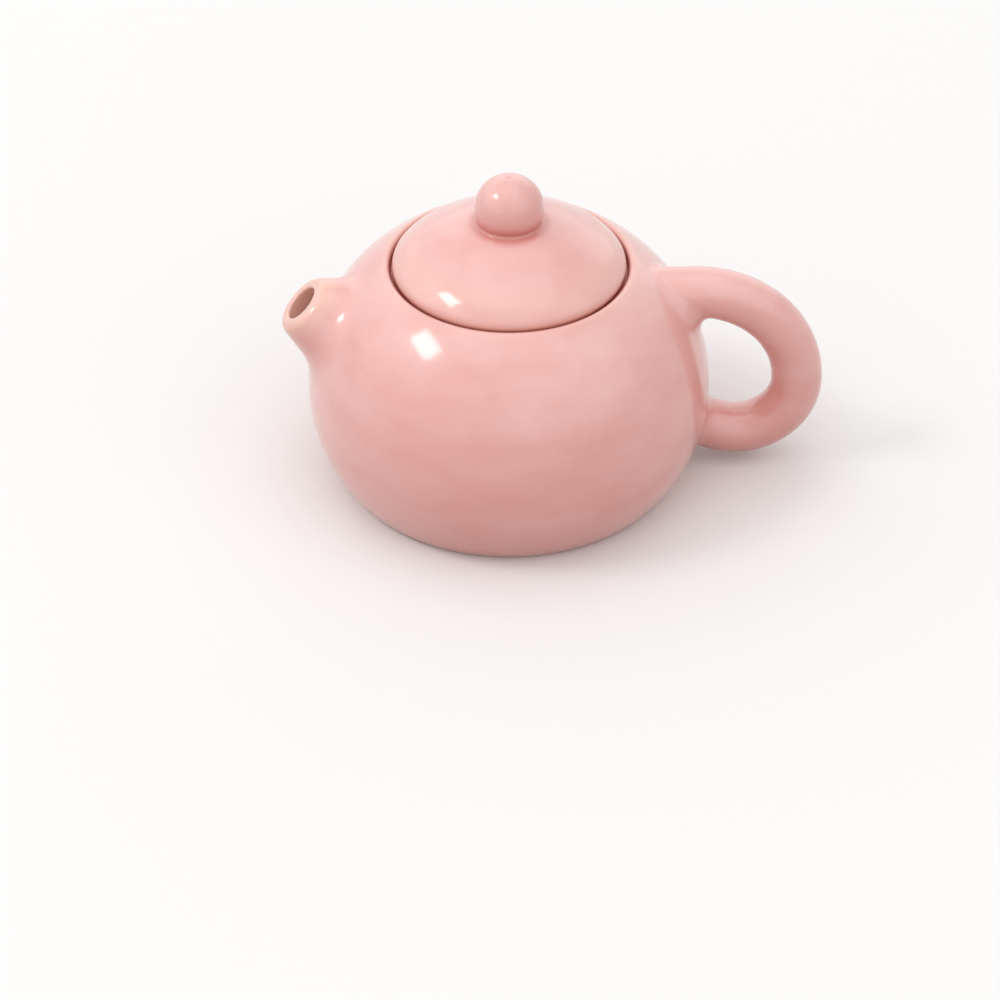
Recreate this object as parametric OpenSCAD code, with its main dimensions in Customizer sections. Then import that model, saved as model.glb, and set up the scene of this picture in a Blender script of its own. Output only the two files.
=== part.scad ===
// Toy teapot: a squat glazed pot with a short spout, an ear handle and a drop-in lid with a ball knob.
// Millimetres. The origin is the centre of the foot on the table, +Z is up, the spout points along -X.

/* [Pot] */
// Widest diameter of the belly
belly_d = 88; // [80:1:100]
// Height of the widest line above the table
belly_z = 21.5; // [19:0.5:25]
// Radius of the curve that rises from the widest line to the mouth
shoulder_r = 36.5; // [34:0.5:39]
// Radius of the curve that falls from the widest line to the foot
lower_r = 33; // [30:0.5:37]
// Rounding between the lower belly and the foot
foot_round_r = 3; // [2:0.5:4]
// Width of the ring that the pot stands on
foot_ring_w = 5; // [4:0.5:8]
// Depth of the hollow inside the foot ring
foot_hollow = 1.2; // [0.8:0.1:2]
// Thickness of the pot's wall
pot_wall = 4; // [3:0.25:5]
// Thickness of the pot's floor above the foot hollow
pot_floor = 4; // [3:0.25:6]

/* [Mouth] */
// Depth of the ledge that carries the lid, below the crest of the mouth
ledge_depth = 2.2; // [1.8:0.1:3]
// Width of the ledge
ledge_w = 4.3; // [3.5:0.1:5.5]
// Thickness of the ledge
ledge_t = 3; // [2:0.25:4]
// Rounding of the crest of the mouth
crest_r = 0.6; // [0.4:0.1:1]

/* [Lid] */
// Diameter of the lid over its rim
lid_d = 50.5; // [47:0.5:53]
// Gap all round between the rim and the mouth
lid_gap = 0.5; // [0.4:0.1:1]
// Rounding between the dome and the rim's upright side
rim_round_r = 2.4; // [1.5:0.1:3.4]
// Height of the dome's top above the ledge
dome_h = 13.4; // [12.6:0.1:15]
// Radius of the dome
dome_r = 34.5; // [32.5:0.5:40]
// Thickness of the dome
lid_t = 3.5; // [2.5:0.25:4.5]
// Length of the collar that locates the lid in the mouth
collar_h = 6; // [4:0.5:8]
// Thickness of the collar
collar_t = 3; // [2:0.25:4]
// Gap all round between the collar and the ledge
collar_gap = 0.7; // [0.4:0.1:1.2]

/* [Knob] */
// Diameter of the ball
knob_d = 15; // [13:0.5:17]
// Depth that the ball is pressed into the dome
knob_sink = 4.9; // [4:0.1:6]
// Rounding between the ball and the dome
knob_fillet_r = 1.5; // [0.8:0.1:2.5]
// Diameter of the dimple on top of the ball
dimple_d = 1.8; // [1:0.1:3]
// Depth of the dimple
dimple_h = 0.5; // [0.3:0.1:0.8]

/* [Spout] */
// Angle up the shoulder at which the spout leaves the wall, square to it
spout_place = 29; // [26:0.5:31]
// Length of the spout's middle line from the wall to its lip
spout_len = 7.1; // [6.5:0.1:10]
// Upward turn of the spout between the wall and its lip
spout_turn = 16; // [8:0.5:20]
// Diameter of the lip before its outer edge is rounded
spout_lip_d = 13.1; // [12:0.1:14]
// Widening of the spout towards the pot, to each side
spout_flare = 24; // [21:1:28]
// Rounding of the lip's outer edge
spout_lip_round_r = 2.2; // [1.5:0.1:2.4]
// Diameter of the pouring hole
spout_bore_d = 8; // [6.5:0.1:8.4]
// Radius of the curve that blends the spout into the pot
spout_root_r = 9; // [6:0.5:9.5]

/* [Handle] */
// Diameter of the handle
handle_d = 11.2; // [9.5:0.1:12]
// Height of the upper branch's middle above the widest line
handle_rise = 22.2; // [20:0.1:24]
// Drop of the lowest bend's middle below the widest line
handle_drop = 14.2; // [12:0.1:15]
// Reach of the handle's middle beyond the belly
handle_reach = 19.5; // [16:0.5:26]
// Radius of the upper bend
handle_bend_r = 23.5; // [20:0.5:25]
// Slope of the lower branch up towards the pot
handle_low_slope = 18; // [10:1:24]
// Radius of the curve that blends the handle into the pot
handle_root_r = 3; // [2:0.5:5]
// Share of that curve that is moved from the outside of the loop to its inside
handle_root_lean = 0.5; // [0:0.05:0.8]

/* [Hidden] */
$fn = 96;

glaze = [0.95, 0.71, 0.69];
glaze_lip = [0.97, 0.78, 0.72];

belly_r = belly_d / 2;
shoulder_x = belly_r - shoulder_r;
lower_x = belly_r - lower_r;
lid_r = lid_d / 2;
mouth_r = lid_r + lid_gap;
throat_r = mouth_r - ledge_w;
collar_r = throat_r - collar_gap;
knob_r = knob_d / 2;
bore_r = spout_bore_d / 2;
lip_r = spout_lip_d / 2;
handle_r = handle_d / 2;

// Size of a cutting square that covers the whole section
reach = 3 * belly_d;

// Third side of a right triangle with the longest side c
function leg(c, a) = sqrt(c * c - a * a);

// Centre of a circle that is a away from p and b away from q, on the left of the way from p to q
function meet(p, a, q, b) =
    let (
        d = norm(q - p),
        u = (q - p) / d,
        along = (a * a - b * b + d * d) / (2 * d),
        aside = leg(a, along)
    )
    p + along * u + aside * [-u.y, u.x];

// Foot rounding: its centre and the height where it runs into the lower curve
foot_x = lower_x + leg(lower_r - foot_round_r, belly_z - foot_round_r);
foot_join_z = belly_z - (belly_z - foot_round_r) * lower_r / (lower_r - foot_round_r);
floor_z = foot_hollow + pot_floor;

// Crest of the mouth: the centre of its rounding and the point where that meets the shoulder
crest_x = mouth_r + crest_r;
crest_z = belly_z + leg(shoulder_r - crest_r, crest_x - shoulder_x);
crest_join_x = shoulder_x + (crest_x - shoulder_x) * shoulder_r / (shoulder_r - crest_r);
ledge_z = crest_z + crest_r - ledge_depth;

// Lid: centres of the dome and of the rim's rounding, and the point where they meet
dome_c = [0, ledge_z + dome_h - dome_r];
rim_c = [lid_r - rim_round_r, dome_c.y + leg(dome_r - rim_round_r, lid_r - rim_round_r)];
rim_join_x = rim_c.x * dome_r / (dome_r - rim_round_r);

// Knob: centres of the ball and of the rounding below it
ball_c = [0, ledge_z + dome_h + knob_r - knob_sink];
neck_c = meet(ball_c, knob_r + knob_fillet_r, dome_c, dome_r + knob_fillet_r);

// How far a root curve dips below the wall that it leaves, so that the wall trims it to a clean edge
root_dip = 0.3;

// Spout: the point of its root on the wall, the line square to the wall there and the radius of its bend
spout_out = [-cos(spout_place), 0, sin(spout_place)];
spout_root = [-shoulder_x, 0, belly_z] + shoulder_r * spout_out;
spout_bend_r = spout_len / spout_turn * 180 / PI;

// Spout: points round a section, and steps along its root curve, its cone and its lip
spout_sides = 40;
spout_root_steps = 9;
spout_cone_steps = 2;
spout_lip_steps = 6;

// Handle: radius of its lower bend, and the middle of each bend
handle_x = belly_r + handle_reach;
low_bend_r = handle_rise + handle_drop - handle_bend_r;
bend_z = belly_z + handle_rise - handle_bend_r;
upper_bend_x = handle_x - handle_bend_r;
low_bend_x = handle_x - low_bend_r;

// Handle: where the lower branch begins, its way to the pot and its length to the wall
low_end = [low_bend_x - low_bend_r * sin(handle_low_slope), bend_z - low_bend_r * cos(handle_low_slope)];
low_way = [-cos(handle_low_slope), sin(handle_low_slope)];
low_inward = ([lower_x, belly_z] - low_end) * low_way;
low_aside = norm([lower_x, belly_z] - low_end - low_inward * low_way);
low_len = low_inward - leg(lower_r, low_aside);
low_z = low_end.y + low_len * low_way.y;
upper_len = upper_bend_x - shoulder_x - leg(shoulder_r, handle_rise);

// Handle: angle of the wall at each root, and between each branch and the line square to the wall
upper_angle = asin(handle_rise / shoulder_r);
low_angle = asin((low_z - belly_z) / lower_r);
upper_slant = upper_angle;
low_slant = handle_low_slope + low_angle;

// Handle: the point of each root on the wall and the line square to the wall there
upper_out = [cos(upper_angle), 0, sin(upper_angle)];
upper_root = [shoulder_x, 0, belly_z] + shoulder_r * upper_out;
low_out = [cos(low_angle), 0, sin(low_angle)];
low_root = [lower_x, 0, belly_z] + lower_r * low_out;

// Handle: lengths along its middle line, from wall to wall
upper_arc = handle_bend_r * PI / 2;
low_arc = low_bend_r * (90 + handle_low_slope) * PI / 180;
handle_len = upper_len + upper_arc + low_arc + low_len;

// Handle: stretch over which a section turns from square on the middle line to flat along the wall
root_turn = 2 * handle_d;
// Handle: points round a section and steps along the middle line
handle_sides = 28;
handle_steps = 28;
root_steps = 7;

// Half section of the belly, drawn in by inset
module belly_section(inset) {
    intersection() {
        translate([shoulder_x, belly_z]) circle(shoulder_r - inset);
        translate([0, belly_z]) square(reach);
    }
    intersection() {
        translate([lower_x, belly_z]) circle(lower_r - inset);
        translate([0, belly_z - reach]) square(reach);
    }
}

// Half section of the belly on its rounded foot
module pot_outline() {
    intersection() {
        belly_section(0);
        translate([0, foot_join_z]) square(reach);
    }
    square([foot_x, foot_join_z]);
    translate([foot_x, foot_round_r]) circle(foot_round_r);
}

// The corner between the shoulder and the mouth that the crest's rounding takes away
module crest_corner() {
    difference() {
        translate([mouth_r, crest_z]) square([crest_join_x - mouth_r, reach]);
        translate([crest_x, crest_z]) circle(crest_r);
    }
}

module pot_section() {
    difference() {
        pot_outline();
        // Inside of the pot, below the ledge
        intersection() {
            belly_section(pot_wall);
            translate([0, floor_z]) square([reach, ledge_z - ledge_t - floor_z]);
        }
        translate([0, floor_z]) square([throat_r, reach]);
        translate([0, ledge_z]) square([mouth_r, reach]);
        crest_corner();
        square([foot_x - foot_ring_w, foot_hollow]);
    }
}

// The pot's outer form without its hollow, to which the spout and the handle are fitted
module pot_form() {
    rotate_extrude() pot_outline();
}

// A solid through a row of rings that all have the same number of points
module lofted(rings) {
    n = len(rings[0]);
    last = len(rings) - 1;
    sides = [for (i = [0 : last - 1], k = [0 : n - 1])
        let (a = i * n + k, b = i * n + (k + 1) % n)
        each [[a, b, b + n], [a, b + n, a + n]]];
    ends = [[for (k = [n - 1 : -1 : 0]) k], [for (k = [0 : n - 1]) last * n + k]];
    polyhedron([for (ring = rings) each ring], concat(sides, ends));
}

// Height of the flat plane that touches the wall at a root, above the wall below a point p of that plane
function wall_fall(p, curve_x, curve_r) =
    norm([norm([p.x, p.y]) - curve_x, p.z - belly_z]) - curve_r;

// A point moved down by the wall's fall below the plane through a root, in part
function laid_on_wall(p, root, out, curve_x, curve_r, share) =
    let (
        flat = p - ((p - root) * out) * out,
        fall = wall_fall(flat, curve_x, curve_r),
        rest = wall_fall(flat - fall * out, curve_x, curve_r)
    )
    p - share * (fall + rest) * out;

// Heading of the spout's middle line above the horizontal, at a length from the wall
function spout_heading(s) = spout_place + spout_turn * s / spout_len;

// Point on the spout's middle line, at a length from the wall
function spout_at(s) =
    let (h = spout_heading(s))
    spout_root + spout_bend_r * [sin(spout_place) - sin(h), 0, cos(spout_place) - cos(h)];

// Round hole through the lip and the pot's wall, straight along the spout's end
module pour_hole() {
    depth = spout_len + 3 * pot_wall;
    translate(spout_at(spout_len)) rotate([0, spout_heading(spout_len) - 90, 0])
        translate([0, 0, -depth]) cylinder(r = bore_r, h = depth + spout_lip_round_r);
}

module pot_body() {
    color(glaze) difference() {
        rotate_extrude() pot_section();
        pour_hole();
    }
}

// Half section of the spout, as lengths from the wall and radii: its root curve, a cone and a round lip
function spout_section() =
    let (
        lip_s = spout_len - spout_lip_round_r,
        lip_x = lip_r - spout_lip_round_r * (1 - sin(spout_flare)) / cos(spout_flare),
        root_s = spout_root_r - root_dip,
        cone_s = root_s - spout_root_r * sin(spout_flare),
        cone_x = lip_r + (spout_len - cone_s) * tan(spout_flare),
        root_x = cone_x + spout_root_r * cos(spout_flare),
        cone_start = [cone_s, cone_x],
        cone_end = [lip_s, lip_x] + spout_lip_round_r * [sin(spout_flare), cos(spout_flare)],
        open = 90 - spout_flare
    )
    concat(
        [for (k = [0 : spout_root_steps - 1])
            let (a = 90 - open * k / spout_root_steps)
            [root_s, root_x] - spout_root_r * [sin(a), cos(a)]],
        [for (k = [0 : spout_cone_steps - 1]) cone_start + (cone_end - cone_start) * k / spout_cone_steps],
        [for (k = [0 : spout_lip_steps])
            let (a = spout_flare + open * k / spout_lip_steps)
            [lip_s, lip_x] + spout_lip_round_r * [sin(a), cos(a)]]
    );

// One section of the spout: a round across its middle line, bent to lie along the wall near the root
function spout_ring(s, r) =
    let (
        h = spout_heading(s),
        left = 1 - min(max(s, 0) / spout_len, 1)
    )
    [for (k = [0 : spout_sides - 1])
        let (
            a = 360 * k / spout_sides,
            flat = spout_at(s) + r * [cos(a) * sin(h), -sin(a), cos(a) * cos(h)]
        )
        laid_on_wall(flat, spout_root, spout_out, shoulder_x, shoulder_r, left * left)];

module spout() {
    color(glaze_lip) difference() {
        lofted([for (p = spout_section()) spout_ring(p[0], p[1])]);
        pot_form();
        pour_hole();
    }
}

// Point on the handle's middle line and its heading, at a length from the upper wall
function handle_at(s) =
    let (
        turn_1 = min(max(s - upper_len, 0), upper_arc) / handle_bend_r * 180 / PI,
        turn_2 = min(max(s - upper_len - upper_arc, 0), low_arc) / low_bend_r * 180 / PI,
        level = min(s - upper_len, 0),
        past = max(s - handle_len + low_len, 0)
    )
    turn_2 > 0
        ? [[low_bend_x, bend_z] + low_bend_r * [cos(turn_2), -sin(turn_2)] + past * low_way, -90 - turn_2]
        : [[upper_bend_x + level, bend_z] + handle_bend_r * [sin(turn_1), cos(turn_1)], -turn_1];

// How much of a root there is at a length from the wall along a branch
function root_share(s) = let (left = 1 - min(max(s, 0) / root_turn, 1)) left * left;

// Widening of a root at a length from the wall, full at its end just below the wall
function root_widening(s, slant) =
    let (left = 1 - min(max((s * cos(slant) + root_dip) / handle_root_r, 0), 1))
    handle_root_r * (1 - sqrt(1 - left * left));

// One section of the handle: a round of the tube, turned and bent to lie along the wall near its ends
function handle_ring(s) =
    let (
        at = handle_at(s),
        share_1 = root_share(s),
        share_2 = root_share(handle_len - s),
        tilt = upper_slant * share_1 + low_slant * share_2,
        wide = root_widening(s, upper_slant) + root_widening(handle_len - s, low_slant),
        across = at[1] + 90 + tilt
    )
    [for (k = [0 : handle_sides - 1])
        let (
            a = 360 * k / handle_sides,
            u = handle_r * cos(a) / cos(tilt) + wide * (cos(a) - handle_root_lean),
            flat = [at[0].x + u * cos(across), (handle_r + wide) * sin(a), at[0].y + u * sin(across)],
            upper = laid_on_wall(flat, upper_root, upper_out, shoulder_x, shoulder_r, share_1)
        )
        laid_on_wall(upper, low_root, low_out, lower_x, lower_r, share_2)];

module handle() {
    // Depth of each end below the wall, along its branch
    upper_end = root_dip / cos(upper_slant);
    lower_end = root_dip / cos(low_slant);
    along = concat(
        [for (k = [0 : root_steps - 1]) -upper_end + (upper_len + upper_end) * pow(k / root_steps, 2)],
        [for (k = [0 : handle_steps]) upper_len + (handle_len - upper_len - low_len) * k / handle_steps],
        [for (k = [1 : root_steps])
            handle_len - low_len + (low_len + lower_end) * (1 - pow(1 - k / root_steps, 2))]
    );
    color(glaze) difference() {
        lofted([for (s = along) handle_ring(s)]);
        pot_form();
    }
}

// The corner between the dome and the rim's upright side that the rim's rounding takes away
module rim_corner() {
    difference() {
        translate([rim_join_x, rim_c.y]) square(reach);
        translate(rim_c) circle(rim_round_r);
    }
}

module lid_section() {
    difference() {
        intersection() {
            translate(dome_c) circle(dome_r);
            translate([0, ledge_z]) square([lid_r, reach]);
        }
        rim_corner();
        // Hollow under the dome
        intersection() {
            translate(dome_c) circle(dome_r - lid_t);
            square([collar_r - collar_t, reach]);
        }
    }
    translate([collar_r - collar_t, ledge_z - collar_h]) square([collar_t, collar_h]);
}

module lid() {
    color(glaze) rotate_extrude() lid_section();
}

module knob_section() {
    // Radius of the round cutter that makes a dimple of this width and depth
    cutter_r = (dimple_d * dimple_d / 4 + dimple_h * dimple_h) / (2 * dimple_h);
    difference() {
        union() {
            intersection() {
                translate(ball_c) circle(knob_r);
                translate([0, ball_c.y - knob_d]) square(2 * knob_d);
            }
            difference() {
                polygon([ball_c, dome_c, neck_c]);
                translate(neck_c) circle(knob_fillet_r);
            }
        }
        translate(dome_c) circle(dome_r);
        translate([0, ball_c.y + knob_r - dimple_h + cutter_r]) circle(cutter_r);
    }
}

module knob() {
    color(glaze) rotate_extrude() knob_section();
}

pot_body();
spout();
handle();
lid();
knob();
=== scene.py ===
"""A toy teapot in pink glaze: pot, spout, ear handle, and a drop-in lid with a ball knob. Metres, +Z up."""
import math

import bmesh
import bpy
import numpy as np
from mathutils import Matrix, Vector


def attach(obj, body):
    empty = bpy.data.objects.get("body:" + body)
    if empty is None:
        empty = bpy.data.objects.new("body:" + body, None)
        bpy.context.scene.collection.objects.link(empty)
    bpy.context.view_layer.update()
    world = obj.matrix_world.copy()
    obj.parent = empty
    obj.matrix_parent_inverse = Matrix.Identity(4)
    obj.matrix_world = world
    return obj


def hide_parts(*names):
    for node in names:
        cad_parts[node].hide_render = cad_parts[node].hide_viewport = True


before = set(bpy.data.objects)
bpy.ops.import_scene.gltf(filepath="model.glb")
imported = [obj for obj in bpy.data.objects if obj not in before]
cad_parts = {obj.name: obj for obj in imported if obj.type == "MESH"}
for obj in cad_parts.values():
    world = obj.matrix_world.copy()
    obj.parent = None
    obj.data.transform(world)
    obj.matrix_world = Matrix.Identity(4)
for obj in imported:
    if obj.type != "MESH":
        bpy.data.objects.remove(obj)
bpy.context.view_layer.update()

MM = 0.001

# Sizes of the pot, whose shoulder and lower half are arcs that meet at the belly's widest height
BELLY_R = 44 * MM
BELLY_Z = 21.5 * MM
SHOULDER_R = 36.5 * MM
LOWER_R = 33 * MM
FOOT_ROUND_R = 3 * MM
FOOT_RING_W = 5 * MM
FOOT_HOLLOW = 1.2 * MM
POT_WALL = 4 * MM
POT_FLOOR = 4 * MM

# Sizes of the mouth
LEDGE_DEPTH = 1.88 * MM
LEDGE_W = 4.3 * MM
LEDGE_T = 3 * MM
CREST_R = 1 * MM

# Sizes of the lid and its knob
LID_R = 25.25 * MM
LID_GAP = 0.5 * MM
RIM_ROUND_R = 2.2 * MM
RIM_UNDERCUT = 0.6 * MM
BAND_R = 22.4 * MM
BAND_W = 2.5 * MM
BAND_H = 0.34 * MM
BAND_INNER_R = 16 * MM
DOME_H = 13.4 * MM
DOME_R = 34.5 * MM
LID_T = 3.5 * MM
COLLAR_H = 6 * MM
COLLAR_T = 3 * MM
COLLAR_GAP = 0.7 * MM
KNOB_R = 7.5 * MM
KNOB_SINK = 4.9 * MM
KNOB_FILLET_R = 0.6 * MM
DIMPLE_R = 0.9 * MM
DIMPLE_H = 0.35 * MM

# Sizes of the spout: its place as an angle up the shoulder, and its turn upwards along its length
SPOUT_PLACE = math.radians(29)
SPOUT_LEN = 7.1 * MM
SPOUT_TURN = math.radians(16)
SPOUT_LIP_R = 6.55 * MM
SPOUT_FLARE = math.radians(24)
SPOUT_LIP_ROUND_R = 2.2 * MM
SPOUT_BORE_R = 4 * MM
SPOUT_BORE_EASE = 0.6 * MM
SPOUT_ROOT_R = 9 * MM

# Sizes of the handle, whose rise and drop start from the belly's widest height
HANDLE_R = 5.6 * MM
HANDLE_RISE = 22.2 * MM
HANDLE_DROP = 14.2 * MM
HANDLE_REACH = 19.5 * MM
HANDLE_BEND_R = 23.5 * MM
HANDLE_LOW_SLOPE = math.radians(18)
HANDLE_ROOT_R = 3.6 * MM

# How far to either side the glaze softens a corner
FLOOR_EASE = 6 * MM
HOLLOW_EASE = 2 * MM
EDGE_EASE = 1 * MM
RIM_EASE = 0.9 * MM
FINE_EASE = 0.4 * MM
DIMPLE_EASE = DIMPLE_R / 3

# How finely the surfaces are drawn
ARC_STEP = 0.7 * MM
CREST_STEP = CREST_R / 8
FOOT_STEP = FOOT_ROUND_R / 8
RIM_STEP = RIM_ROUND_R / 12
KNOB_STEP = KNOB_R / 24
NECK_STEP = KNOB_FILLET_R / 12
LIP_STEP = SPOUT_LIP_ROUND_R / 10
DIMPLE_STEPS = 8
STEPS_ROUND = 192
SPOUT_SIDES = 96
SPOUT_STEPS = 8
HANDLE_SIDES = 72
HANDLE_STEPS = 90
ROOT_STEPS = 16
EASE_STEPS = 8
HALVINGS = 48
WELD = 0.002 * MM
CREASE = math.radians(38)

# Radius of the wheel that turns the sections, and the stretch that the drill for the pouring hole cuts
WHEEL_R = BELLY_R / 4
DRILL_FROM = -3 * POT_WALL
DRILL_TO = POT_WALL

# Depth of the hidden skirts under the surface that a root or the knob stands on
SKIRT = 0.4 * MM

# Places that follow from the sizes
SHOULDER_X = BELLY_R - SHOULDER_R
LOWER_X = BELLY_R - LOWER_R
MOUTH_R = LID_R + LID_GAP
THROAT_R = MOUTH_R - LEDGE_W
COLLAR_R = THROAT_R - COLLAR_GAP
FLOOR_Z = FOOT_HOLLOW + POT_FLOOR


def leg(longest, other):
    """Third side of a right triangle."""
    return math.sqrt(longest * longest - other * other)


FOOT_X = LOWER_X + leg(LOWER_R - FOOT_ROUND_R, BELLY_Z - FOOT_ROUND_R)
CREST_X = MOUTH_R + CREST_R
CREST_Z = BELLY_Z + leg(SHOULDER_R - CREST_R, CREST_X - SHOULDER_X)
CREST_TOP = CREST_Z + CREST_R
LEDGE_Z = CREST_TOP - LEDGE_DEPTH
DOME_Z = LEDGE_Z + DOME_H - DOME_R
BALL_Z = LEDGE_Z + DOME_H + KNOB_R - KNOB_SINK


# Section curves, as rows of radius and height

def arc(centre, radius, start, end, step=ARC_STEP):
    """Points along a circle from one angle to another, in radians."""
    count = max(3, math.ceil(abs(end - start) * radius / step) + 1)
    angles = np.linspace(start, end, count)
    return np.stack([centre[0] + radius * np.cos(angles), centre[1] + radius * np.sin(angles)], 1)


def straight(start, end, step=ARC_STEP):
    """Points along a straight line."""
    start, end = np.array(start, float), np.array(end, float)
    count = max(2, math.ceil(np.linalg.norm(end - start) / step) + 1)
    return start + (end - start) * np.linspace(0, 1, count)[:, None]


def heading(start, end):
    """Angle of the way from one point to another."""
    return math.atan2(end[1] - start[1], end[0] - start[0])


def meet(p, a, q, b):
    """Point at a distance a from p and b from q, on the left of the way from p to q."""
    p, q = np.array(p, float), np.array(q, float)
    gap = np.linalg.norm(q - p)
    way = (q - p) / gap
    along = (a * a - b * b + gap * gap) / (2 * gap)
    return p + along * way + leg(a, along) * np.array([-way[1], way[0]])


def shortened(run, length):
    """A run of points with a length taken off its end."""
    along = np.concatenate([[0], np.cumsum(np.linalg.norm(np.diff(run, axis=0), axis=1))])
    stop = along[-1] - length
    end = [np.interp(stop, along, run[:, axis]) for axis in (0, 1)]
    return np.vstack([run[along < stop - WELD], end])


def joined(runs, eases):
    """Runs joined end to end, each corner softened over its ease to either side."""
    line = runs[0]
    for run, ease in zip(runs[1:], eases):
        if ease == 0:
            line = np.vstack([line, run[1:]])
            continue
        corner = line[-1]
        before = shortened(line, ease)
        after = shortened(run[::-1], ease)[::-1]
        share = np.linspace(0, 1, EASE_STEPS)[1:-1, None]
        bend = (1 - share) ** 2 * before[-1] + 2 * share * (1 - share) * corner + share ** 2 * after[0]
        line = np.vstack([before, bend, after])
    return line


def belly_line(inset, low_z, high_z):
    """The belly's curve between two heights, drawn in by an inset."""
    lower, shoulder = LOWER_R - inset, SHOULDER_R - inset
    start = math.asin((low_z - BELLY_Z) / lower)
    end = math.asin((high_z - BELLY_Z) / shoulder)
    rise = arc((SHOULDER_X, BELLY_Z), shoulder, 0, end)
    return np.vstack([arc((LOWER_X, BELLY_Z), lower, start, 0), rise[1:]])


def pot_profile():
    """From the middle of the floor, over the mouth and down the belly, to the middle of the foot."""
    ceiling_z = LEDGE_Z - LEDGE_T
    inside = belly_line(POT_WALL, FLOOR_Z, ceiling_z)
    foot_c = (FOOT_X, FOOT_ROUND_R)
    foot_turn = heading((LOWER_X, BELLY_Z), foot_c)
    foot_join_z = BELLY_Z + LOWER_R * math.sin(foot_turn)
    crest_c = (CREST_X, CREST_Z)
    crest_turn = heading((SHOULDER_X, BELLY_Z), crest_c)
    crest_join_z = BELLY_Z + SHOULDER_R * math.sin(crest_turn)
    runs = [
        straight((0, FLOOR_Z), inside[0]),
        inside,
        straight(inside[-1], (THROAT_R, ceiling_z)),
        straight((THROAT_R, ceiling_z), (THROAT_R, LEDGE_Z)),
        straight((THROAT_R, LEDGE_Z), (MOUTH_R, LEDGE_Z)),
        straight((MOUTH_R, LEDGE_Z), (MOUTH_R, CREST_Z)),
        arc(crest_c, CREST_R, math.pi, crest_turn, CREST_STEP),
        belly_line(0, foot_join_z, crest_join_z)[::-1],
        arc(foot_c, FOOT_ROUND_R, foot_turn, -math.pi / 2, FOOT_STEP),
        straight((FOOT_X, 0), (FOOT_X - FOOT_RING_W, 0)),
        straight((FOOT_X - FOOT_RING_W, 0), (FOOT_X - FOOT_RING_W, FOOT_HOLLOW)),
        straight((FOOT_X - FOOT_RING_W, FOOT_HOLLOW), (0, FOOT_HOLLOW)),
    ]
    eases = [FLOOR_EASE, EDGE_EASE, EDGE_EASE, EDGE_EASE, FINE_EASE, 0, 0, 0, 0, FINE_EASE, FINE_EASE]
    return joined(runs, eases)


def bump_round(distance, width):
    """1 at no distance, falling to 0 over a few widths."""
    return np.exp(-(distance / width) ** 2)


def lid_band(run):
    """A run of the lid's top with a low, soft band along its rim."""
    rise = BAND_H * bump_round(run[:, 0] - BAND_R, BAND_W)
    return run + np.stack([np.zeros_like(rise), rise], 1)


def lid_profile():
    """From the top of the dome, over the rim and the collar, to the middle of the hollow underneath."""
    dome_c = np.array([0, DOME_Z])
    rim_x = LID_R - RIM_ROUND_R
    rim_c = np.array([rim_x, DOME_Z + leg(DOME_R - RIM_ROUND_R, rim_x)])
    dome_end = heading(dome_c, rim_c)
    collar_in = COLLAR_R - COLLAR_T
    collar_z = LEDGE_Z - COLLAR_H
    hollow_r = DOME_R - LID_T
    hollow_start = math.acos(collar_in / hollow_r)
    hollow = arc(dome_c, hollow_r, hollow_start, math.pi / 2)
    runs = [
        lid_band(arc(dome_c, DOME_R, math.pi / 2, dome_end)),
        lid_band(arc(rim_c, RIM_ROUND_R, dome_end, 0, RIM_STEP)),
        straight(rim_c + [RIM_ROUND_R, 0], (LID_R - RIM_UNDERCUT, LEDGE_Z)),
        straight((LID_R - RIM_UNDERCUT, LEDGE_Z), (COLLAR_R, LEDGE_Z)),
        straight((COLLAR_R, LEDGE_Z), (COLLAR_R, collar_z)),
        straight((COLLAR_R, collar_z), (collar_in, collar_z)),
        straight((collar_in, collar_z), hollow[0]),
        hollow,
    ]
    return joined(runs, [0, 0, RIM_EASE, FINE_EASE, EDGE_EASE, EDGE_EASE, HOLLOW_EASE])


def knob_neck():
    """Centre of the curve between the ball and the dome, as radius and height."""
    return meet((0, BALL_Z), KNOB_R + KNOB_FILLET_R, (0, DOME_Z), DOME_R + KNOB_FILLET_R)


def knob_profile():
    """From the dimple on top, round the ball and its neck, to the middle of the dome underneath."""
    ball_c, dome_c, neck_c = (0, BALL_Z), (0, DOME_Z), knob_neck()
    dimple_r = (DIMPLE_R ** 2 + DIMPLE_H ** 2) / (2 * DIMPLE_H)
    dimple_c = (0, BALL_Z + KNOB_R - DIMPLE_H + dimple_r)
    dimple_turn = math.asin(DIMPLE_R / dimple_r)
    dimple = arc(dimple_c, dimple_r, -math.pi / 2, dimple_turn - math.pi / 2, dimple_r / DIMPLE_STEPS)
    ball_start = math.acos(dimple[-1][0] / KNOB_R)
    ball_end = heading(ball_c, neck_c)
    ball = arc(ball_c, KNOB_R, ball_start, ball_end, KNOB_STEP)
    neck_end = heading(neck_c, dome_c) + 2 * math.pi
    neck = arc(neck_c, KNOB_FILLET_R, ball_end + math.pi, neck_end, NECK_STEP)
    under_turn = heading(dome_c, neck_c)
    under = arc(dome_c, DOME_R - SKIRT, under_turn, math.pi / 2)
    runs = [np.vstack([dimple[:-1], ball[:1]]), ball, neck, straight(neck[-1], under[0]), under]
    return joined(runs, [DIMPLE_EASE, 0, 0, 0])


# Meshes

def new_object(name, data):
    """An object in the scene that shows a mesh, a lamp or a camera."""
    made = bpy.data.objects.new(name, data)
    bpy.context.scene.collection.objects.link(made)
    return made


def new_node(tree, kind, inputs=(), **settings):
    """A node with its settings, and its inputs linked or set."""
    node = tree.nodes.new(kind)
    for name, value in settings.items():
        setattr(node, name, value)
    for name, value in dict(inputs).items():
        if isinstance(value, bpy.types.NodeSocket):
            tree.links.new(value, node.inputs[name])
        else:
            node.inputs[name].default_value = value
    return node


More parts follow.
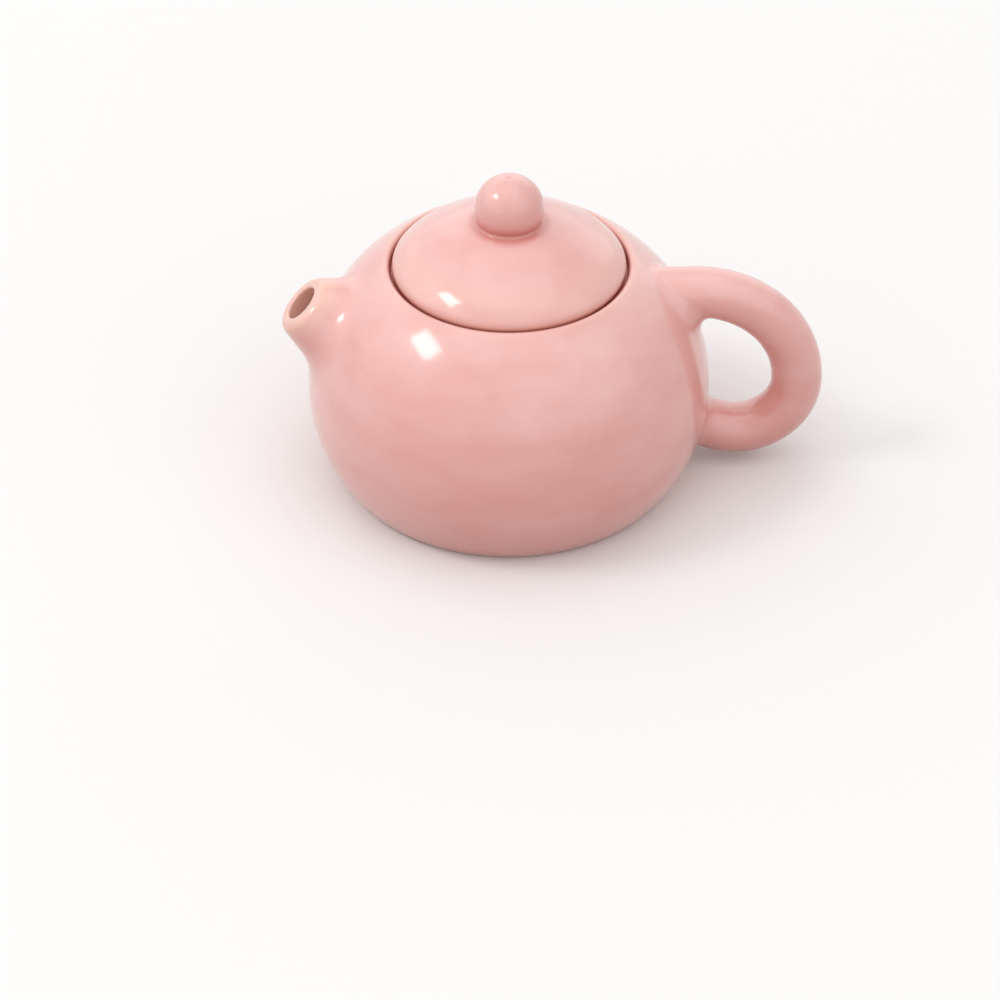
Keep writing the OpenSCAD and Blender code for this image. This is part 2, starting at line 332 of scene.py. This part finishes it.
def wheel_tree():
    """Node tree that turns a section on the upright axis, as a potter's wheel does, and its inputs' keys."""
    tree = bpy.data.node_groups.new("turned_on_the_wheel", "GeometryNodeTree")
    tree.is_modifier = True
    sockets = {}
    for name, kind in (("Section", "Geometry"), ("Steps round", "Int"), ("Wheel radius", "Float"),
                       ("Weld", "Float"), ("Glaze", "Material")):
        sockets[name] = tree.interface.new_socket(name, in_out="INPUT", socket_type="NodeSocket" + kind)
    tree.interface.new_socket("Piece", in_out="OUTPUT", socket_type="NodeSocketGeometry")
    given = new_node(tree, "NodeGroupInput").outputs
    section = new_node(tree, "GeometryNodeMeshToCurve", {"Mesh": given["Section"]})
    wheel = new_node(tree, "GeometryNodeCurvePrimitiveCircle",
                     {"Resolution": given["Steps round"], "Radius": given["Wheel radius"]})
    turned = new_node(tree, "GeometryNodeCurveToMesh",
                      {"Curve": wheel.outputs["Curve"], "Profile Curve": section.outputs["Curve"]})
    closed = new_node(tree, "GeometryNodeMergeByDistance",
                      {"Geometry": turned.outputs["Mesh"], "Distance": given["Weld"]})
    real = new_node(tree, "GeometryNodeRealizeInstances", {"Geometry": closed.outputs["Geometry"]})
    glazed = new_node(tree, "GeometryNodeSetMaterial",
                      {"Geometry": real.outputs["Geometry"], "Material": given["Glaze"]})
    new_node(tree, "NodeGroupOutput", {"Piece": glazed.outputs["Geometry"]})
    return tree, {name: socket.identifier for name, socket in sockets.items()}


def turned(name, profile, glaze, wheel):
    """A piece turned from a section on the wheel. The sweep runs downwards, so heights go in as falls."""
    tree, inputs = wheel
    mesh = bpy.data.meshes.new(name + "_section")
    corners = [(radius - WHEEL_R, -height, 0) for radius, height in profile]
    mesh.from_pydata(corners, [(k, k + 1) for k in range(len(corners) - 1)], [])
    section = new_object(name + "_section", mesh)
    spin = section.modifiers.new("wheel", "NODES")
    spin.node_group = tree
    spin[inputs["Steps round"]] = STEPS_ROUND
    spin[inputs["Wheel radius"]] = WHEEL_R
    spin[inputs["Weld"]] = WELD
    spin[inputs["Glaze"]] = glaze
    return made_plain(section, name)


def made_plain(source, name):
    """The evaluated object as a plain mesh object of its own, with the source removed."""
    depsgraph = bpy.context.evaluated_depsgraph_get()
    mesh = bpy.data.meshes.new_from_object(source.evaluated_get(depsgraph))
    mesh.name = name
    old = source.data
    bpy.data.objects.remove(source)
    bpy.data.meshes.remove(old)
    return new_object(name, mesh)


def lofted(name, rings, glaze, closed_along):
    """A skin over rings of points. Its ends are capped, or it closes on itself along its length."""
    rows, around = rings.shape[:2]
    corners = rings.reshape(-1, 3).tolist()
    faces = []
    for row in range(rows if closed_along else rows - 1):
        near, far = row * around, (row + 1) % rows * around
        for side in range(around):
            after = (side + 1) % around
            faces.append((near + side, near + after, far + after, far + side))
    if not closed_along:
        for first in (0, (rows - 1) * around):
            middle = len(corners)
            corners.append(np.mean(corners[first:first + around], axis=0).tolist())
            faces += [(first + side, first + (side + 1) % around, middle) for side in range(around)]
    mesh = bpy.data.meshes.new(name)
    mesh.from_pydata(corners, [], faces)
    mesh.materials.append(glaze)
    return new_object(name, mesh)


def smoothed(piece):
    """Faces turned outwards and shaded smooth, with creases kept where the surface turns sharply."""
    work = bmesh.new()
    work.from_mesh(piece.data)
    bmesh.ops.remove_doubles(work, verts=work.verts, dist=WELD)
    bmesh.ops.recalc_face_normals(work, faces=work.faces)
    for face in work.faces:
        face.smooth = True
    for edge in work.edges:
        edge.smooth = edge.calc_face_angle(0) < CREASE
    work.to_mesh(piece.data)
    work.free()
    return piece


# The pot's outer wall, and roots that blend into it

def wall_below(points):
    """Of each point: the nearest point on the pot's wall, the wall's outward line and the height over it."""
    radius = np.hypot(points[..., 0], points[..., 1])
    high = points[..., 2] >= BELLY_Z
    curve_x = np.where(high, SHOULDER_X, LOWER_X)
    curve_r = np.where(high, SHOULDER_R, LOWER_R)
    out = radius - curve_x
    up = points[..., 2] - BELLY_Z
    far = np.hypot(out, up)
    slant = out / far
    line = np.stack([slant * points[..., 0] / radius, slant * points[..., 1] / radius, up / far], -1)
    height = far - curve_r
    return points - height[..., None] * line, line, height


def unit(vectors):
    """The same directions at length 1."""
    return vectors / np.linalg.norm(vectors, axis=-1, keepdims=True)


def dot(a, b):
    """Products of vectors, as a column."""
    return np.sum(a * b, axis=-1, keepdims=True)


def lengths_to_wall(surface, low, high):
    """Length along each line of a surface at which it meets the pot's wall, found by halving."""
    for _ in range(HALVINGS):
        middle = (low + high) / 2
        outside = wall_below(surface(middle)[0])[2] > 0
        high = np.where(outside, middle, high)
        low = np.where(outside, low, middle)
    return (low + high) / 2


def root_rings(surface, low, high, radius):
    """Rings of a root that runs from a tube or cone onto the pot's wall, from its hidden skirt outwards.

    surface gives, at a length along each of its lines, the point, the pace along the line and the outward
    line. Also returns the length along each line where the root leaves the surface.
    """
    cut = lengths_to_wall(surface, low, high)
    corner, pace, skin = surface(cut)
    _, wall, _ = wall_below(corner)
    bend = np.arccos(np.clip(dot(skin, wall), -1, 1))
    reach = radius * np.tan(bend / 2)
    # A cubic curve whose handles have this length follows a circle of the radius
    pull = radius * np.tan(bend / 4) * 4 / 3
    climb = unit(wall - dot(wall, skin) * skin)
    start = cut + (reach / dot(climb, pace))[..., 0]
    on_skin, pace, _ = surface(start)
    aside = unit(skin - dot(skin, wall) * wall)
    on_wall, wall, _ = wall_below(corner + reach * aside)
    aside = unit(aside - dot(aside, wall) * wall)
    share = np.linspace(0, 1, ROOT_STEPS)[:, None, None]
    curve = ((1 - share) ** 3 * on_wall + 3 * share * (1 - share) ** 2 * (on_wall - pull * aside)
             + 3 * share ** 2 * (1 - share) * (on_skin - pull * unit(pace)) + share ** 3 * on_skin)
    skirt = on_wall - SKIRT * wall
    return np.concatenate([skirt[None], curve]), start


def spout_middle(length):
    """Middle line of the spout: point, heading and the line above it, at a length from the wall."""
    bend_r = SPOUT_LEN / SPOUT_TURN
    head = SPOUT_PLACE + length / bend_r
    zero = np.zeros_like(head)
    rise, reach = math.sin(SPOUT_PLACE), math.cos(SPOUT_PLACE)
    root = (-SHOULDER_X - SHOULDER_R * reach, 0, BELLY_Z + SHOULDER_R * rise)
    swing = np.stack([rise - np.sin(head), zero, reach - np.cos(head)], -1)
    ahead = np.stack([-np.cos(head), zero, np.sin(head)], -1)
    above = np.stack([np.sin(head), zero, np.cos(head)], -1)
    return root + bend_r * swing, ahead, above


SPOUT_ROUND = np.linspace(0, 2 * math.pi, SPOUT_SIDES, endpoint=False)


def round_spout(above):
    """Lines square to the spout's middle line, all round it."""
    return np.cos(SPOUT_ROUND)[:, None] * above + np.sin(SPOUT_ROUND)[:, None] * np.array([0, 1, 0])


def spout_ring(length, radius):
    """Ring round the spout's middle line."""
    middle, _, above = spout_middle(np.array(length))
    return middle + radius * round_spout(above)


def spout_cone(length):
    """Lines of the spout's cone at a length from the wall: point, pace along the line and outward line."""
    middle, ahead, above = spout_middle(length)
    across = round_spout(above)
    radius = (SPOUT_LIP_R + (SPOUT_LEN - length) * math.tan(SPOUT_FLARE))[:, None]
    pace = 1 - radius * np.cos(SPOUT_ROUND)[:, None] * SPOUT_TURN / SPOUT_LEN
    spread = math.tan(SPOUT_FLARE)
    return middle + radius * across, pace * ahead - spread * across, unit(pace * across + spread * ahead)


def bore_line(length, radius=SPOUT_BORE_R):
    """Lines of the pouring hole, straight from the spout's end: point, pace along it and outward line."""
    lip, ahead, above = spout_middle(np.array(SPOUT_LEN))
    across = round_spout(above)
    return lip + radius * across + (length - SPOUT_LEN)[:, None] * ahead, ahead, across


def make_spout(glaze):
    """The spout: its root, its cone, its round lip and the pouring hole back to the wall."""
    far = np.full(SPOUT_SIDES, SPOUT_LEN)
    root, _ = root_rings(spout_cone, -far, far, SPOUT_ROOT_R)
    lip_x = SPOUT_LIP_R - SPOUT_LIP_ROUND_R * (1 - math.sin(SPOUT_FLARE)) / math.cos(SPOUT_FLARE)
    lip_c = (lip_x, SPOUT_LEN - SPOUT_LIP_ROUND_R)
    lip = arc(lip_c, SPOUT_LIP_ROUND_R, SPOUT_FLARE, math.pi / 2, LIP_STEP)
    over = np.stack([spout_ring(length, radius) for radius, length in lip])
    edge = joined([
        straight((lip_x, SPOUT_LEN), (SPOUT_BORE_R, SPOUT_LEN)),
        straight((SPOUT_BORE_R, SPOUT_LEN), (SPOUT_BORE_R, SPOUT_LEN / 2)),
    ], [SPOUT_BORE_EASE])
    into = np.stack([bore_line(np.full(SPOUT_SIDES, length), radius)[0] for radius, length in edge[1:]])
    up_cone = np.linspace(root[-1], over[0], SPOUT_STEPS)[1:-1]
    end = bore_line(lengths_to_wall(bore_line, -far, far) - SKIRT)[0]
    down_bore = np.linspace(into[-1], end, SPOUT_STEPS)[1:]
    rings = np.concatenate([root, up_cone, over, into, down_bore])
    return smoothed(lofted("spout", rings, glaze, closed_along=True))


def handle_middle(length):
    """Middle line of the handle at a length from the upper wall: point, heading and line out of the loop."""
    low_bend_r = HANDLE_RISE + HANDLE_DROP - HANDLE_BEND_R
    bend_z = BELLY_Z + HANDLE_RISE - HANDLE_BEND_R
    handle_x = BELLY_R + HANDLE_REACH
    upper_x, low_x = handle_x - HANDLE_BEND_R, handle_x - low_bend_r
    upper_len = upper_x - SHOULDER_X - leg(SHOULDER_R, HANDLE_RISE)
    upper_arc = HANDLE_BEND_R * math.pi / 2
    low_arc = low_bend_r * (math.pi / 2 + HANDLE_LOW_SLOPE)
    turn_1 = np.clip(length - upper_len, 0, upper_arc) / HANDLE_BEND_R
    turn_2 = np.clip(length - upper_len - upper_arc, 0, low_arc) / low_bend_r
    level = np.minimum(length - upper_len, 0)
    past = np.maximum(length - upper_len - upper_arc - low_arc, 0)
    head = -turn_1 - turn_2
    zero = np.zeros_like(length)
    ahead = np.stack([np.cos(head), zero, np.sin(head)], -1)
    outward = np.stack([-np.sin(head), zero, np.cos(head)], -1)
    upper = np.stack([upper_x + level, zero, zero + bend_z], -1) + HANDLE_BEND_R * outward
    lower = np.stack([zero + low_x, zero, zero + bend_z], -1) + low_bend_r * outward
    lower = lower + past[..., None] * ahead
    return np.where((turn_2 > 0)[..., None], lower, upper), ahead, outward


def handle_length():
    """Length of the handle's middle line from wall to wall."""
    shortest, longest = np.array([HANDLE_BEND_R * 2]), np.array([HANDLE_BEND_R * 5])
    return -lengths_to_wall(lambda length: handle_middle(-length), -longest, -shortest)[0]


def make_handle(glaze):
    """The handle: a tube along its middle line, with a root at either end."""
    turn = np.linspace(0, 2 * math.pi, HANDLE_SIDES, endpoint=False)
    total = handle_length()

    def tube(length):
        middle, ahead, outward = handle_middle(length)
        skin = np.cos(turn)[:, None] * outward + np.sin(turn)[:, None] * np.array([0, 1, 0])
        return middle + HANDLE_R * skin, ahead, skin

    def tube_from_below(length):
        point, ahead, skin = tube(total - length)
        return point, -ahead, skin

    far = np.full(HANDLE_SIDES, 2 * HANDLE_R)
    upper, upper_start = root_rings(tube, -far, far, HANDLE_ROOT_R)
    lower, lower_start = root_rings(tube_from_below, -far, far, HANDLE_ROOT_R)
    shares = np.linspace(0, 1, HANDLE_STEPS)[1:-1]
    between = [tube(upper_start + share * (total - lower_start - upper_start))[0] for share in shares]
    rings = np.concatenate([upper, np.stack(between), lower[::-1]])
    return smoothed(lofted("handle", rings, glaze, closed_along=False))


def make_pot(glaze, clay, wheel):
    """The pot: turned on the wheel, drilled for the spout, and bare of glaze on its foot ring."""
    pot = smoothed(turned("pot_body", pot_profile(), glaze, wheel))
    ends = np.stack([bore_line(np.full(SPOUT_SIDES, length))[0] for length in (DRILL_FROM, DRILL_TO)])
    drill = smoothed(lofted("drill", ends, glaze, closed_along=False))
    cut = pot.modifiers.new("pouring_hole", "BOOLEAN")
    cut.operation, cut.solver, cut.object = "DIFFERENCE", "EXACT", drill
    pot = smoothed(made_plain(pot, "pot_body"))
    bpy.data.objects.remove(drill)
    pot.data.materials.append(clay)
    for face in pot.data.polygons:
        middle = face.center
        if middle.z < WELD and middle.xy.length > FOOT_X - FOOT_RING_W:
            face.material_index = 1
    return pot


# How thickly the glaze lies, with painted shade and painted light: strengths from 0 to 1, and how far each
# reaches
# Painted shade on the crest beside the lid
CREST_SHADE = 0.45
CREST_SHADE_W = 0.7 * MM
CREST_THIN = 0.15
CREST_THIN_W = 1.5 * MM
LIP_THIN = 0.5
LIP_THIN_W = 2.5 * MM
# Painted shade in the pouring hole, and a paler colour there that is thinner glaze and also painted light
BORE_SHADE = 0.4
BORE_THIN_AND_LIGHT = 0.6
# Painted shade and a painted reflection of the pink crest on the rim's edge, with thinner glaze over it
RIM_SHADE = 0.42
RIM_THIN = 0.3
RIM_W = 1.3 * MM
# Painted shade inside the lid's band, and painted light along the band
DOME_SHADE = 0.05
DOME_FADE_W = 3 * MM
BAND_LIGHT = 0.18
# Deeper glaze and painted shade in the crease round the knob's neck
NECK_POOL_AND_SHADE = 0.6
NECK_LID_W = 1.2 * MM
NECK_KNOB_W = 1.5 * MM
KNOB_POOL = 0.09

# Places that the paint goes by
NECK_R, NECK_Z = knob_neck()
LIP_MIDDLE, LIP_AHEAD, _ = spout_middle(np.array(SPOUT_LEN))


def painted(piece, pool_and_shade, thin_and_light):
    """Writes how thickly the glaze has pooled, with painted shade, and how thinly it has run, with painted
    light, on each point of a piece.
    """
    spots = np.empty(len(piece.data.vertices) * 3)
    piece.data.vertices.foreach_get("co", spots)
    spots = spots.reshape(-1, 3)
    for name, rule in (("pool_and_shade", pool_and_shade), ("thin_and_light", thin_and_light)):
        layer = piece.data.attributes.new(name, "FLOAT", "POINT")
        layer.data.foreach_set("value", np.clip(rule(spots), 0, 1).astype(np.float32))
    return piece


def radius_of(spots):
    """Distance from the upright axis."""
    return np.hypot(spots[:, 0], spots[:, 1])


def nothing(spots):
    """No paint anywhere."""
    return np.zeros(len(spots))


def groove_shade(spots):
    """Painted shade: 1 down in the gap round the lid, falling to 0 at the crest's top."""
    share = np.clip((CREST_TOP - spots[:, 2]) / CREST_R, 0, 1)
    near = (radius_of(spots) < CREST_X) & (radius_of(spots) > LID_R - 2 * RIM_UNDERCUT)
    return share ** 2 * near * (spots[:, 2] > LEDGE_Z - WELD)


def crest_shade(spots):
    """Painted shade on the crest beside the lid and down in the gap round it."""
    near = bump_round(radius_of(spots) - MOUTH_R, CREST_SHADE_W) * (spots[:, 2] > LEDGE_Z - WELD)
    return np.maximum(groove_shade(spots), CREST_SHADE * near)


def crest_thin(spots):
    """Thin glaze over the top of the crest."""
    away = np.hypot(radius_of(spots) - CREST_X, spots[:, 2] - CREST_TOP)
    return CREST_THIN * bump_round(away, CREST_THIN_W)


def depth_in_spout(spots):
    """How far back from the spout's end."""
    return (LIP_MIDDLE - spots) @ LIP_AHEAD


def in_bore(spots):
    """1 on the wall of the pouring hole."""
    off_axis = np.linalg.norm(spots - LIP_MIDDLE + depth_in_spout(spots)[:, None] * LIP_AHEAD, axis=1)
    return off_axis < SPOUT_BORE_R + WELD


def bore_shade(spots):
    """Painted shade in the pouring hole."""
    return BORE_SHADE * in_bore(spots)


def lip_thin_and_bore_light(spots):
    """Glaze run thinly over the lip and in the pouring hole, where the paler colour is also painted light
    that brightens the hole.
    """
    over_lip = bump_round(np.maximum(0, depth_in_spout(spots)), LIP_THIN_W)
    return np.maximum(LIP_THIN * over_lip, BORE_THIN_AND_LIGHT * in_bore(spots))


def rim_edge(spots):
    """1 on the lid's rim where it turns down into the gap."""
    return bump_round(np.hypot(radius_of(spots) - LID_R, spots[:, 2] - CREST_TOP), RIM_W)


def lid_shade_and_pool(spots):
    """Painted shade in the gap and inside the band, painted shade and reflected pink on the rim's edge, and
    deeper glaze with painted shade round the knob's neck.
    """
    inside_band = bump_round(np.maximum(0, radius_of(spots) - BAND_INNER_R), DOME_FADE_W)
    round_neck = bump_round(radius_of(spots) - NECK_R, NECK_LID_W)
    return np.maximum.reduce([
        groove_shade(spots),
        RIM_SHADE * rim_edge(spots),
        DOME_SHADE * inside_band,
        NECK_POOL_AND_SHADE * round_neck,
    ])


def lid_thin_and_light(spots):
    """Glaze run thinly on the rim's edge, and painted light along the band."""
    on_band = bump_round(radius_of(spots) - BAND_R, BAND_W) * (spots[:, 2] > CREST_TOP)
    return np.maximum(RIM_THIN * rim_edge(spots), BAND_LIGHT * on_band)


def knob_pool_and_shade(spots):
    """Deeper glaze on the whole ball, and at its neck deeper glaze with painted shade in the crease."""
    return KNOB_POOL + NECK_POOL_AND_SHADE * bump_round(np.maximum(0, spots[:, 2] - NECK_Z), NECK_KNOB_W)


# Finishes

GLAZE_DEEPER = (0.775, 0.365, 0.33, 1)
GLAZE_PALER = (0.83, 0.465, 0.43, 1)
# Colours of pooled glaze, also used as painted shade, and of thinner glaze, also used as painted light
GLAZE_POOLED_AND_SHADE = (0.56, 0.13, 0.10, 1)
GLAZE_THIN_AND_LIGHT = (0.85, 0.55, 0.42, 1)
CLOUDS_PER_METRE = 45.0
CLOUD_DRAW = (1, 1, 2.5)
CLOUD_LOW = 0.3
CLOUD_HIGH = 0.7
RIPPLES_PER_METRE = 110.0
RIPPLE_H = 0.2 * MM
RIPPLE_STRENGTH = 0.15
PEEL_PER_METRE = 700.0
SATIN_LOW = 0.38
SATIN_HIGH = 0.52
CLAY_DARK = (0.66, 0.55, 0.45, 1)
CLAY_PALE = (0.80, 0.71, 0.61, 1)
SAND_PER_METRE = 1500.0
GRIT_H = 0.05 * MM
GRIT_STRENGTH = 0.5

# Places of the colour sockets on a mix node, whose names repeat
MIX_SHARE, MIX_FIRST, MIX_SECOND, MIX_RESULT = 0, 6, 7, 2


def new_finish(name):
    """An empty material, its node tree and the socket that gives the place on the piece."""
    finish = bpy.data.materials.new(name)
    finish.use_nodes = True
    tree = finish.node_tree
    tree.nodes.clear()
    return finish, tree, new_node(tree, "ShaderNodeTexCoord").outputs["Object"]


def mixed(tree, share, first, second):
    """A colour between two colours."""
    inputs = {MIX_SHARE: share, MIX_FIRST: first, MIX_SECOND: second}
    return new_node(tree, "ShaderNodeMix", inputs, data_type="RGBA").outputs[MIX_RESULT]


def pink_glaze():
    """Glossy pink glaze: deeper where it pools and where shade is painted, creamy where it runs thinly and
    where light is painted, with faint clouds and ripples.
    """
    finish, tree, place = new_finish("pink_glaze")
    # Pooled glaze with painted shade, and thinner glaze with painted light, as written on each piece
    pool_and_shade = new_node(tree, "ShaderNodeAttribute", attribute_name="pool_and_shade").outputs["Fac"]
    thin_and_light = new_node(tree, "ShaderNodeAttribute", attribute_name="thin_and_light").outputs["Fac"]
    drawn_out = new_node(tree, "ShaderNodeMapping", {"Vector": place, "Scale": CLOUD_DRAW})
    clouds = new_node(tree, "ShaderNodeTexNoise", {
        "Vector": drawn_out.outputs["Vector"], "Scale": CLOUDS_PER_METRE, "Detail": 4.0, "Roughness": 0.58})
    cloud_share = new_node(tree, "ShaderNodeMapRange", {
        "Value": clouds.outputs["Fac"], "From Min": CLOUD_LOW, "From Max": CLOUD_HIGH})
    body = mixed(tree, cloud_share.outputs["Result"], GLAZE_DEEPER, GLAZE_PALER)
    deep = mixed(tree, pool_and_shade, body, GLAZE_POOLED_AND_SHADE)
    creamy = mixed(tree, thin_and_light, deep, GLAZE_THIN_AND_LIGHT)
    ripple = new_node(tree, "ShaderNodeTexNoise", {
        "Vector": place, "Scale": RIPPLES_PER_METRE, "Detail": 1.0})
    bump = new_node(tree, "ShaderNodeBump", {
        "Strength": RIPPLE_STRENGTH, "Distance": RIPPLE_H, "Height": ripple.outputs["Fac"]})
    wave = bump.outputs["Normal"]
    peel = new_node(tree, "ShaderNodeTexNoise", {"Vector": place, "Scale": PEEL_PER_METRE, "Detail": 1.0})
    satin = new_node(tree, "ShaderNodeMapRange", {
        "Value": peel.outputs["Fac"], "To Min": SATIN_LOW, "To Max": SATIN_HIGH})
    shader = new_node(tree, "ShaderNodeBsdfPrincipled", {
        "Base Color": creamy, "Roughness": satin.outputs["Result"], "IOR": 1.6, "Normal": wave,
        "Coat Weight": 1.0, "Coat Roughness": 0.12, "Coat IOR": 1.55, "Coat Normal": wave})
    new_node(tree, "ShaderNodeOutputMaterial", {"Surface": shader.outputs["BSDF"]})
    return finish


def bare_clay():
    """Unglazed fired clay on the foot ring: matt and slightly sandy."""
    finish, tree, place = new_finish("bare_clay")
    sand = new_node(tree, "ShaderNodeTexNoise", {
        "Vector": place, "Scale": SAND_PER_METRE, "Detail": 3.0}).outputs["Fac"]
    grit = new_node(tree, "ShaderNodeBump", {
        "Strength": GRIT_STRENGTH, "Distance": GRIT_H, "Height": sand})
    shader = new_node(tree, "ShaderNodeBsdfPrincipled", {
        "Base Color": mixed(tree, sand, CLAY_DARK, CLAY_PALE), "Roughness": 0.85,
        "Normal": grit.outputs["Normal"]})
    new_node(tree, "ShaderNodeOutputMaterial", {"Surface": shader.outputs["BSDF"]})
    return finish


# The pieces

glaze = pink_glaze()
wheel = wheel_tree()
pot_body = painted(make_pot(glaze, bare_clay(), wheel), crest_shade, crest_thin)
spout = painted(make_spout(glaze), bore_shade, lip_thin_and_bore_light)
handle = painted(make_handle(glaze), nothing, nothing)
lid = painted(smoothed(turned("lid", lid_profile(), glaze, wheel)), lid_shade_and_pool, lid_thin_and_light)
knob = painted(smoothed(turned("knob", knob_profile(), glaze, wheel)), knob_pool_and_shade, nothing)

# The frame's objects hold the plain names, so each piece's name ends in a dot and a number here
for piece, body in ((pot_body, "pot"), (spout, "pot"), (handle, "pot"), (lid, "lid"), (knob, "lid")):
    node = piece.name.split(".")[0]
    piece.name = "glazed_" + node
    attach(piece, body)
    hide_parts(node)


# The stage

FOOT_PIXEL = (508.8, 458.8)
PICTURE = 1000
LENS = 144.0
SENSOR = 36.0
CAMERA_DEPTH = 0.892
CAMERA_PITCH = math.radians(36.97)
CAMERA_TURN = math.radians(-2.5)
BACKGROUND = 0.98
FLOOR_HALF = 4.0
FLOOR_NEAR = 0.3
FLOOR_FAR = 0.9
FLOOR_WHITE = (0.865, 0.865, 0.865, 1)
FLOOR_BOUNCE = (0.45, 0.27, 0.24, 1)
WORLD_TINT = (1, 0.985, 0.97, 1)
WORLD_LEVEL = 0.66
LAMP_DISTANCE = 3.0

# Each lamp's name, azimuth and elevation in degrees, size in metres, and level
LAMPS = (
    ("key", -171, 48, (0.90, 0.58), 0.175),
    ("left", -155, 25, (5.0, 2.4), 0.13),
    ("panel", 150, 33, (3.6, 2.2), 0.11),
    ("top", -90, 88, (3.0, 3.0), 0.20),
    ("fill", -50, 35, (4.5, 3.0), 0.23),
    ("back", 80, 25, (4.0, 2.0), 0.13),
)


def set_camera():
    """Camera at the photograph's angle, with the pot's foot where it stands there."""
    data = bpy.data.cameras.new("camera")
    data.lens, data.sensor_width = LENS, SENSOR
    camera = new_object("camera", data)
    camera.rotation_euler = (math.pi / 2 - CAMERA_PITCH, 0, CAMERA_TURN)
    per_pixel = SENSOR / LENS / PICTURE
    across = (FOOT_PIXEL[0] - PICTURE / 2) * per_pixel
    down = (FOOT_PIXEL[1] - PICTURE / 2) * per_pixel
    foot = Vector((across, -down, -1)) * CAMERA_DEPTH
    camera.location = -(camera.rotation_euler.to_matrix() @ foot)
    bpy.context.scene.camera = camera


def shown_rays(tree):
    """1 on the rays that show a thing to the camera, straight or by way of gloss or glass."""
    path = new_node(tree, "ShaderNodeLightPath").outputs
    seen = new_node(tree, "ShaderNodeMath", {0: path["Is Camera Ray"], 1: path["Is Glossy Ray"]},
                    operation="MAXIMUM")
    shown = new_node(tree, "ShaderNodeMath", {0: seen.outputs[0], 1: path["Is Transmission Ray"]},
                     operation="MAXIMUM")
    return shown.outputs[0]


def set_floor():
    """White floor that keeps the shadow, fades into the background and lights the pot less than it shows."""
    mesh = bpy.data.meshes.new("floor")
    corners = [(x * FLOOR_HALF, y * FLOOR_HALF, 0) for x, y in ((-1, -1), (1, -1), (1, 1), (-1, 1))]
    mesh.from_pydata(corners, [], [(0, 1, 2, 3)])
    floor = new_object("floor", mesh)
    finish, tree, place = new_finish("white_floor")
    away = new_node(tree, "ShaderNodeVectorMath", {0: place}, operation="LENGTH")
    far = new_node(tree, "ShaderNodeMapRange", {
        "Value": away.outputs["Value"], "From Min": FLOOR_NEAR, "From Max": FLOOR_FAR},
        interpolation_type="SMOOTHSTEP")
    dim = new_node(tree, "ShaderNodeBsdfDiffuse", {"Color": FLOOR_BOUNCE})
    near_white = new_node(tree, "ShaderNodeBsdfDiffuse", {"Color": FLOOR_WHITE})
    far_white = new_node(tree, "ShaderNodeEmission", {"Strength": BACKGROUND})
    white = new_node(tree, "ShaderNodeMixShader", {
        0: far.outputs["Result"], 1: near_white.outputs[0], 2: far_white.outputs[0]})
    surface = new_node(tree, "ShaderNodeMixShader", {
        0: shown_rays(tree), 1: dim.outputs[0], 2: white.outputs[0]})
    new_node(tree, "ShaderNodeOutputMaterial", {"Surface": surface.outputs[0]})
    mesh.materials.append(finish)


def set_lamp(name, azimuth, elevation, size, level):
    """A soft box that faces the pot. level is the light on a surface that faces it, where 1 shows white."""
    data = bpy.data.lights.new(name, "AREA")
    data.shape = "RECTANGLE"
    data.size, data.size_y = size
    data.energy = level * math.pi ** 2 * LAMP_DISTANCE ** 2
    lamp = new_object(name, data)
    lift, turn = math.radians(elevation), math.radians(azimuth)
    way = Vector((math.cos(turn) * math.cos(lift), math.sin(turn) * math.cos(lift), math.sin(lift)))
    lamp.location = Vector((0, 0, BELLY_Z)) + LAMP_DISTANCE * way
    lamp.rotation_euler = way.to_track_quat("Z", "Y").to_euler()


def set_world():
    """Even light from all round, shown as the white background."""
    world = bpy.data.worlds.new("studio")
    world.use_nodes = True
    tree = world.node_tree
    tree.nodes.clear()
    light = new_node(tree, "ShaderNodeBackground", {"Color": WORLD_TINT, "Strength": WORLD_LEVEL})
    white = new_node(tree, "ShaderNodeBackground", {"Color": (1, 1, 1, 1), "Strength": BACKGROUND})
    sky = new_node(tree, "ShaderNodeMixShader", {
        0: shown_rays(tree), 1: light.outputs[0], 2: white.outputs[0]})
    new_node(tree, "ShaderNodeOutputWorld", {"Surface": sky.outputs[0]})
    bpy.context.scene.world = world


set_camera()
set_floor()
set_world()
for lamp in LAMPS:
    set_lamp(*lamp)
bpy.context.scene.view_settings.view_transform = "Standard"
